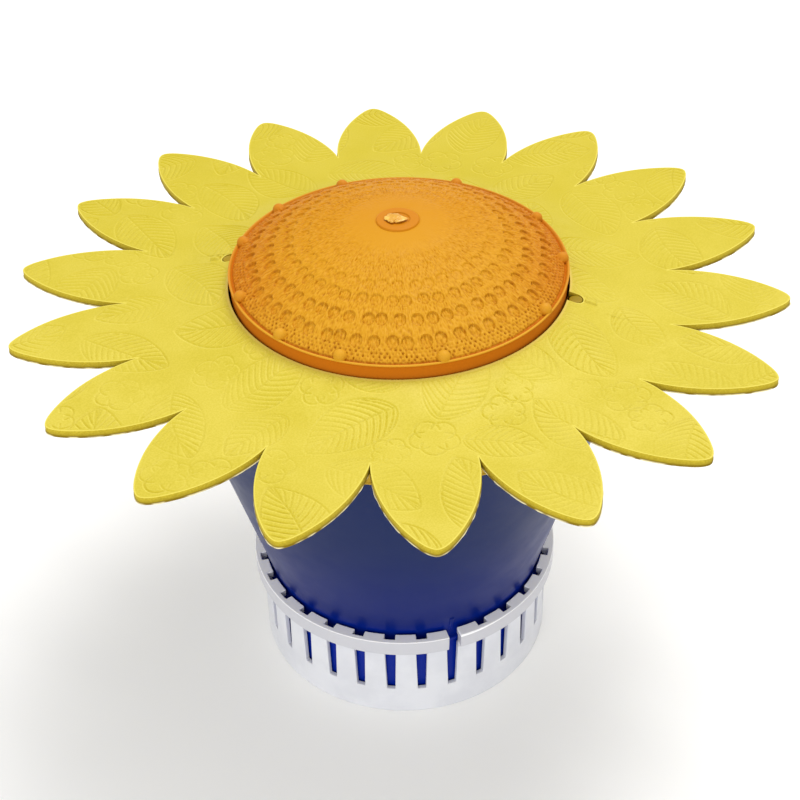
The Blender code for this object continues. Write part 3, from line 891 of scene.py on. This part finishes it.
def dimples(radius, turns):
    """Height and wall share of the round dimples, set in rings and slightly out of line."""
    relief = np.zeros(len(turns))
    walls = np.zeros(len(turns))
    for ring_radius, count, depth in DIMPLE_RINGS:
        if abs(radius - ring_radius * MM) > DIMPLE_R + 0.5 * MM:
            continue
        shifts = place_shifts(count, count, DIMPLE_SHIFTS)
        distance, _ = to_nearest_place(radius, turns, ring_radius * MM, shifts)
        sunk = smooth((DIMPLE_R - distance) / DIMPLE_WALL)
        relief -= depth * MM * sunk
        relief += NUB_SHARE * depth * MM * smooth((NUB_R - distance) / NUB_SLOPE)
        walls += depth * 4.0 * sunk * (1.0 - sunk)
    return relief, walls


def pits(radius, turns):
    """Height of the rows of tiny pits in the dome's margin."""
    relief = np.zeros(len(turns))
    for row, row_radius in enumerate(PIT_ROWS):
        if abs(radius - row_radius) < PIT_R + 0.15 * MM:
            shifts = place_shifts(PITS, row, PIT_SHIFTS)
            distance, number = to_nearest_place(radius, turns, row_radius, shifts, 0.5 * (row % 2))
            relief -= shifts[number, 2] * PIT_DEPTH * smooth((PIT_R - distance) / PIT_WALL)
    return relief


def streaks(radius, turns):
    """Height of the fine radial streaks and the grain of the dome, fading towards the boss."""
    fade = float(smooth((radius - 10 * MM) / (20 * MM)))
    height = []
    for turn in turns:
        x, y = math.cos(turn), math.sin(turn)
        streak = noise.noise(Vector((STREAKS * x, STREAKS * y, radius / STREAK_LENGTH)))
        grain = noise.noise(Vector((radius * x, radius * y, 0.0)) / GRAIN_SIZE)
        height.append(STREAK_DEPTH * streak + GRAIN_DEPTH * grain)
    return fade * np.array(height)


def raise_ball(points, angle):
    """Lift the points round one place on the rim onto a ball centred there, and say which they are."""
    centre = np.array(polar(BALL_CENTRE_R, angle, dome_height(BALL_CENTRE_R)))
    normal = centre - SPHERE_CENTRE
    normal /= np.linalg.norm(normal)
    offset = points - centre
    height = offset @ normal
    aside = np.sqrt(np.maximum((offset ** 2).sum(axis=1) - height ** 2, 0.0))
    lift = np.sqrt(np.maximum(BALL_R ** 2 - aside ** 2, 0.0)) - height
    chosen = (aside < BALL_R) & (lift > 0) & (height > -BALL_SINK)
    points[chosen] += lift[chosen, None] * normal
    return chosen


def crown_ring(radius, columns):
    """One ring of the cap's dimpled and pitted crown, and its painted light and shade."""
    turns = np.arange(columns) * (TURN / columns)
    sunk, walls = dimples(radius, turns)
    holes = pits(radius, turns)
    ripple = streaks(radius, turns)
    groove = RIM_GROOVE * float(smooth((radius - DOME_R + MM) / (0.5 * MM)))
    relief = sunk + holes + ripple - groove
    # Painted shade in the pits, rim groove and dimple walls, painted light and shade following the
    # streaks' height
    painted_lights = 0.5 + PAINTED_LIGHT_PER_METRE * (PIT_SHADE * holes + ripple - GROOVE_SHADE * groove) - WALL_SHADE * walls
    ring = ring_points(radius, dome_height(radius), columns)
    normal = (ring - SPHERE_CENTRE) / SPHERE_R
    return ring + relief[:, None] * normal, np.clip(painted_lights, 0.0, 1.0)


def make_dome_cap():
    """The domed lid: dimpled crown, pitted margin, rim bead with balls, skirt and hollow inside."""
    quarter, half = CAP_COLUMNS // 4, CAP_COLUMNS // 2
    boss_top = dome_height(0.0) + BOSS_RISE
    well_floor = boss_top - WELL_DEPTH
    corner_z = boss_top - BOSS_CORNER
    profile = [(1.0 * MM, well_floor), (WELL_R - 0.6 * MM, well_floor)]
    profile += arc_profile((WELL_R + BOSS_CORNER, corner_z), BOSS_CORNER, 180, -90, 4)
    profile += arc_profile((BOSS_R - 0.6 * MM, corner_z), BOSS_CORNER, 90, -70, 4)
    profile += [(BOSS_R - 0.05 * MM, dome_height(BOSS_R) - 0.2 * MM)]
    rings = [ring_points(radius, z, quarter) for radius, z in profile]
    painted_lights = [np.full(quarter, 0.5) for _ in rings]

    crown_rows = np.arange(BOSS_R + 0.4 * MM, MARGIN_R, CROWN_STEP)
    margin_rows = np.arange(MARGIN_R, DOME_R, MARGIN_STEP)
    for radius in np.concatenate([crown_rows, margin_rows]):
        columns = quarter if radius < COARSE_R else half if radius < MIDDLE_R else CAP_COLUMNS
        ring, painted_light = crown_ring(radius, columns)
        rings.append(ring)
        painted_lights.append(painted_light)
    bead = arc_profile((RIM_R - RIM_BEAD_R, RIM_Z + 0.1 * MM), RIM_BEAD_R, 165, -225, 12)
    rings += [ring_points(radius, z, CAP_COLUMNS) for radius, z in bead]
    # Painted highlight on the rim bead
    painted_lights += [np.full(CAP_COLUMNS, BEAD_HIGHLIGHT) for _ in bead]
    foot_z = CAP_LOW + 0.5 * MM
    rings += [ring_points(SKIRT_R, z, half) for z in np.linspace(RIM_Z - 1.3 * MM, foot_z, 6)]
    inner = SKIRT_R - CAP_WALL
    rings += [ring_points(SKIRT_R - 0.5 * MM, CAP_LOW, quarter),
              ring_points(inner + 0.5 * MM, CAP_LOW, quarter), ring_points(inner, foot_z, quarter)]
    for radius in np.linspace(inner, 2 * MM, 24):
        rings.append(ring_points(radius, dome_height(radius, CAP_WALL), quarter))
    points, faces = ring_mesh(rings, closed=False)
    with_painted_light = np.concatenate(painted_lights)
    with_painted_light = np.append(with_painted_light, np.full(len(points) - len(with_painted_light), 0.5))
    for degrees in BALL_ANGLES:
        # Painted highlight on the balls
        with_painted_light[raise_ball(points, math.radians(degrees))] = BALL_HIGHLIGHT
    cap = make_object("dome_cap_shell", points, faces, cap_plastic(), "cap", "dome_cap")
    add_point_values(cap, "painted_light", with_painted_light)
    make_cap_lugs(cap.data.materials[0])
    make_sprue(well_floor)


def make_cap_lugs(material):
    """Three bayonet lugs round the foot of the cap's skirt."""
    low, high, inner = CAP_LOW + LUG_LOW, CAP_LOW + LUG_HIGH, SKIRT_R - 0.4 * MM
    section = [(inner, low), (CAP_LUG_R, low), (CAP_LUG_R, high), (inner, high)]
    for lug in range(3):
        piece = make_arc_bar(f"cap_lug_{lug + 1}", LUG_START + 120 * lug, LUG_SWEEP, 14, section, material,
                             "cap", 0.35 * MM)
        add_point_values(piece, "painted_light", np.full(len(piece.data.vertices), 0.5))


def make_sprue(floor):
    """The torn flake of the sprue in the boss's well, with a thin curl at one end."""
    ball = bmesh.new()
    bmesh.ops.create_icosphere(ball, subdivisions=5, radius=1.0)
    ball.verts.index_update()
    points = []
    for vert in ball.verts:
        rough = 0.34 * noise.noise(vert.co * 1.6 + Vector((4, 1, 2))) + 0.14 * noise.noise(vert.co * 5.0)
        x, y, z = vert.co * (1 + rough)
        curl = max(0.0, x - 0.35)
        taper = max(0.16, 1 - 1.5 * curl)
        points.append(Vector((3.6 * x + 3.2 * curl - 1.0,
                              3.1 * y * taper - 2.8 * curl + 3.6 * curl ** 2 - 0.2,
                              0.9 * z * taper + 0.8)) * MM + Vector((0.0, 0.0, floor)))
    faces = [tuple(vert.index for vert in face.verts) for face in ball.faces]
    ball.free()
    make_object("sprue_stub", points, faces, sprue_plastic(), "cap", sharp=180)


# ---- cell solids


SIDES = [((-1, 0, 0), ((0, 0, 0), (0, 0, 1), (0, 1, 1), (0, 1, 0))),
         ((1, 0, 0), ((1, 0, 0), (1, 1, 0), (1, 1, 1), (1, 0, 1))),
         ((0, -1, 0), ((0, 0, 0), (1, 0, 0), (1, 0, 1), (0, 0, 1))),
         ((0, 1, 0), ((0, 1, 0), (0, 1, 1), (1, 1, 1), (1, 1, 0))),
         ((0, 0, -1), ((0, 0, 0), (0, 1, 0), (1, 1, 0), (1, 0, 0))),
         ((0, 0, 1), ((0, 0, 1), (1, 0, 1), (1, 1, 1), (0, 1, 1)))]


def cell_solid(around, outward, upward, solid, place):
    """Points and quads round every solid cell of a ring of cells.

    Cells are counted round the axis, outwards and upwards; place gives the point of a cell corner.
    """
    points, faces, index = [], [], {}

    def corner(i, j, k):
        key = (i % around, j, k)
        if key not in index:
            index[key] = len(points)
            points.append(place(*key))
        return index[key]

    def filled(i, j, k):
        return 0 <= j < outward and 0 <= k < upward and solid(i % around, j, k)

    for i, j, k in itertools.product(range(around), range(outward), range(upward)):
        if filled(i, j, k):
            for (di, dj, dk), corners in SIDES:
                if not filled(i + di, j + dj, k + dk):
                    faces.append(tuple(corner(i + a, j + b, k + c) for a, b, c in corners))
    return points, faces


def stop_columns(start, origin, per_pitch, width):
    """Columns of the three stops, or of their windows, from their start angle in degrees."""
    columns = []
    for stop in range(3):
        first = per_pitch * round((math.radians(start + 120 * stop) - origin) / PITCH)
        columns += [(first + step) % (SLOTS * per_pitch) for step in range(width)]
    return columns


def make_flow_collar():
    """The split collar: slotted wall, proud band with notches, foot flange with stop windows."""
    radii = [FLANGE_R, 60.6 * MM, 61.8 * MM, 62.2 * MM, 63.2 * MM, 64.0 * MM, 65.1 * MM, BAND_R]
    heights = [COLLAR_LOW, 2.0 * MM, 13.9 * MM, SLOT_TOP, 39.0 * MM, 42.8 * MM, COLLAR_HIGH]
    slot_half_widths = [1.62, 1.62, 1.62, 2.15, 2.19, 2.06, 2.06]
    per_pitch = 7
    window_columns = stop_columns(WINDOW_START, SPLIT_ANGLE, per_pitch, 11)
    first_sprung, last_sprung = SPRUNG_COLUMNS

    def place(i, j, k):
        pitch, column = divmod(i, per_pitch)
        half = math.radians(slot_half_widths[k])
        bar = PITCH - 2 * half
        offsets = (-half, -half / 3, half / 3, half, half + bar / 4, half + bar / 2, half + 0.75 * bar)
        spring = 0.0
        if i >= first_sprung:
            share = float(smooth((last_sprung - i) / (last_sprung - first_sprung)))
            spring = SPRING * share * (heights[k] / COLLAR_HIGH) ** 2
        angle = SPLIT_ANGLE + pitch * PITCH + offsets[column]
        return polar(radii[j] + spring, angle, heights[k] + spring)

    # First and last solid ring of cells at each height, across the slots and between them
    slot_cells = ((0, 4), (2, 4), (1, 0), (1, 0), (4, 6), (6, 6))
    bar_cells = ((0, 4), (2, 4), (2, 4), (4, 4), (4, 6), (3, 6))

    def solid(i, j, k):
        pitch, column = divmod(i, per_pitch)
        in_slot = column < 3
        first, last = slot_cells[k] if in_slot else bar_cells[k]
        in_split = in_slot and pitch == 0 and k >= 2
        in_window = j == 0 and k == 0 and i in window_columns
        return first <= j <= last and not in_split and not in_window

    points, faces = cell_solid(SLOTS * per_pitch, len(radii) - 1, len(heights) - 1, solid, place)
    collar = make_object("flow_collar_ring", points, faces, collar_plastic(), "collar",
                         "flow_collar", sharp=30)
    bevel(collar, 0.3 * MM)


def make_canister():
    """The blue tablet chamber: flared wall, ported foot with a bead and stop feet, and a short low rib."""
    shoulder_z = HOUSING_LOW - 0.3 * MM
    cone_z = 45.5 * MM
    cone = [(FOOT_R + (SHOULDER_R - FOOT_R) * i / 14, cone_z + (shoulder_z - cone_z) * i / 14)
            for i in range(15)]
    rim_r = SHOULDER_R - 0.5 * MM
    bead_r = 62.7 * MM
    foot = [(FOOT_R, z) for z in (CANISTER_LOW, 2.4 * MM, 4.6 * MM, 14.5 * MM, 34.5 * MM, 39.0 * MM)]
    foot += [(bead_r, 40.0 * MM), (bead_r, 41.0 * MM), (FOOT_R, 41.6 * MM)]
    outer = foot + cone + [(rim_r, shoulder_z + 0.4 * MM), (rim_r, CANISTER_HIGH)]
    bead_rows = (5, 6, 7, 8)
    rib_row = 9
    edges = (-1.5, -0.5, 0.5, 1.5, 2.75, 4.0, 5.25, 6.75, 8.0, 9.25)
    per_pitch = len(edges)
    port_phase = SPLIT_ANGLE + 0.5 * PITCH
    total = SLOTS * per_pitch
    rib_column = total - 4
    foot_columns = stop_columns(STOP_START, port_phase, per_pitch, 8)

    def place(i, j, k):
        pitch, column = divmod(i, per_pitch)
        angle = port_phase + pitch * PITCH + math.radians(edges[column])
        radius, z = outer[k]
        wall_r = FOOT_R if k in bead_rows else radius
        stations = (CANISTER_LEDGE_R, 57.4 * MM, wall_r - CANISTER_WALL, wall_r - 0.45 * CANISTER_WALL,
                    radius, radius + 0.4 * MM)
        return polar(stations[j], angle, z)

    def solid(i, j, k):
        column = i % per_pitch
        if k == 0:
            return 1 <= j <= 2 and i in foot_columns
        if k == 1:
            return j <= 3
        if k == 3 and column < 3:
            return False
        if j == 4:
            return k == rib_row and i == rib_column
        return 2 <= j <= 3

    points, faces = cell_solid(total, 5, len(outer) - 1, solid, place)
    canister = make_object("canister_shell", points, faces, canister_plastic(), "base",
                           "canister", sharp=30)
    bevel(canister, 0.25 * MM)


def make_float_housing():
    """The shallow shell under the sheet, with a rounded shoulder and a lipped skirt."""
    outer = HOUSING_LIP_R - 0.6 * MM
    inner = outer - HOUSING_WALL
    plate = SHEET_LOW - 0.3 * MM
    mouth_z = HOUSING_HIGH - 1.5 * MM
    profile = [(HOUSING_IN_R, mouth_z), (HOUSING_STEP_R, mouth_z),
               (HOUSING_STEP_R, plate + float(crown_rise(HOUSING_STEP_R)))]
    profile += [(radius, plate + float(crown_rise(radius)))
                for radius in np.linspace(78 * MM, outer - 1.2 * MM, 9)]
    profile += arc_profile((outer - 1.0 * MM, plate - 1.0 * MM), 1.0 * MM, 80, -80, 5)
    profile += [(outer, HOUSING_LOW + 1.8 * MM)]
    profile += arc_profile((outer + 0.1 * MM, HOUSING_LOW + 0.7 * MM), 0.5 * MM, 70, -140, 6)
    profile += [(outer, HOUSING_LOW), (inner, HOUSING_LOW), (inner, plate - HOUSING_PLATE),
                (88 * MM, plate - HOUSING_PLATE), (HOUSING_STEP_R, mouth_z - HOUSING_PLATE),
                (HOUSING_IN_R, mouth_z - HOUSING_PLATE)]
    points, faces = ring_mesh([ring_points(radius, z, 360) for radius, z in profile], closed=True)
    mustard = housing_plastic("housing_plastic", (168, 130, 28), (186, 150, 42))
    make_object("float_housing_shell", points, faces, mustard, "base",
                "float_housing", sharp=35)


def make_keyhole_studs(material):
    """Two low studs of the neck ring that fill the sheet's keyholes from below."""
    high = SHEET_TOP + float(crown_rise(KEYHOLE_CENTRE_R)) - STUD_DROP
    low = high - STUD_HEIGHT
    outline = [(0.4 * MM, low), (KEYHOLE_R - 0.35 * MM, low)]
    outline += arc_profile((KEYHOLE_R - 0.75 * MM, high - 0.4 * MM), 0.4 * MM, 0, 90, 4)
    outline += [(0.4 * MM, high)]
    points, faces = ring_mesh([ring_points(radius, z, 48) for radius, z in outline], closed=False)
    for number, angle in enumerate(KEYHOLE_ANGLES, start=1):
        centre = np.array(polar(KEYHOLE_CENTRE_R, angle, 0.0))
        make_object(f"neck_stud_{number}", points + centre, faces, material, "base",
                    sharp=35)


def make_neck_lips():
    """Three thin lips of the neck ring beside the cap's skirt, with gaps where the cap's lugs rise, in a
    dark colour that paints the shade of the gap round the skirt.
    """
    # Painted shade: the lips take the dark colour of the shaded gap round the skirt
    gap_shade_brown = housing_plastic("neck_lip_painted_shade", (128, 76, 14), (140, 86, 18))
    rise = float(crown_rise(HOLE_R))
    inner, outer = RIM_R + 0.25 * MM, HOLE_R - 0.15 * MM
    low, high = SHEET_LOW + rise - 1.5 * MM, SHEET_TOP + rise - 0.8 * MM
    section = [(inner, low), (outer, low), (outer, high), (inner, high)]
    for number in range(3):
        make_arc_bar(f"neck_lip_{number + 1}", LIP_START + 120 * number, LIP_SWEEP, 86, section, gap_shade_brown,
                     "base", 0.25 * MM)


def dress_inner_rings():
    """Give the rings that keep their frame mesh their materials and rounded edges."""
    neck = housing_plastic("neck_plastic", (146, 122, 22), (160, 134, 28))
    make_keyhole_studs(neck)
    make_neck_lips()
    for node, material in (("neck_ring", neck), ("cap_gasket", gasket_rubber()),
                           ("float_ring", float_foam()), ("base_grate", canister_plastic())):
        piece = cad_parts[node]
        piece.data.materials.clear()
        piece.data.materials.append(material)
        bevel(piece, 0.2 * MM)


# ---- studio


def add_area_light(name, place, target, size, power, colour):
    """A soft square light aimed at a point."""
    light = bpy.data.lights.new(name, "AREA")
    light.size = size
    light.energy = power
    light.color = colour
    lamp = bpy.data.objects.new(name, light)
    lamp.location = place
    lamp.rotation_euler = (Vector(target) - Vector(place)).to_track_quat("-Z", "Y").to_euler()
    bpy.context.scene.collection.objects.link(lamp)


def make_studio():
    """Pale floor, soft lights and the camera."""
    scene = bpy.context.scene
    scene.view_settings.view_transform = "Standard"
    mesh = bpy.data.meshes.new("floor")
    reach = 6.0
    corners = [(-reach, -reach, 0), (reach, -reach, 0), (reach, reach, 0), (-reach, reach, 0)]
    mesh.from_pydata(corners, [], [(0, 1, 2, 3)])
    look = Shading("floor_white", 0.1, 0.9)
    look.shader.inputs["Base Color"].default_value = srgb(250, 250, 250)
    mesh.materials.append(look.material)
    floor = bpy.data.objects.new("floor", mesh)
    scene.collection.objects.link(floor)

    world = bpy.data.worlds.new("studio_world")
    world.use_nodes = True
    background = world.node_tree.nodes["Background"]
    background.inputs["Color"].default_value = (1.0, 1.0, 1.0, 1.0)
    background.inputs["Strength"].default_value = 0.80
    scene.world = world

    centre = (0.0, 0.0, 0.15)
    add_area_light("key_light", place=(0.35, 0.5, 1.6), target=centre, size=0.8, power=15.0,
                   colour=(1.0, 0.985, 0.96))
    add_area_light("fill_light", place=(-0.4, -1.5, 0.6), target=centre, size=1.4, power=10.0,
                   colour=(0.98, 0.99, 1.0))

    camera = bpy.data.cameras.new("camera")
    camera.lens = 69.8
    camera.sensor_width = 36.0
    camera.clip_start = 0.01
    rig = bpy.data.objects.new("camera", camera)
    elevation = math.radians(38.29)
    roll = math.radians(-1.26)
    distance = 0.5603
    target = Vector((-0.0006, -0.0726, SHEET_TOP))
    rig.location = target + distance * Vector((0.0, -math.cos(elevation), math.sin(elevation)))
    level = Euler((math.pi / 2 - elevation, 0.0, 0.0)).to_matrix()
    rig.rotation_euler = (level @ Euler((0.0, 0.0, roll)).to_matrix()).to_euler()
    scene.collection.objects.link(rig)
    scene.camera = rig


make_petal_sheet()
make_dome_cap()
make_flow_collar()
make_canister()
make_float_housing()
dress_inner_rings()
make_studio()
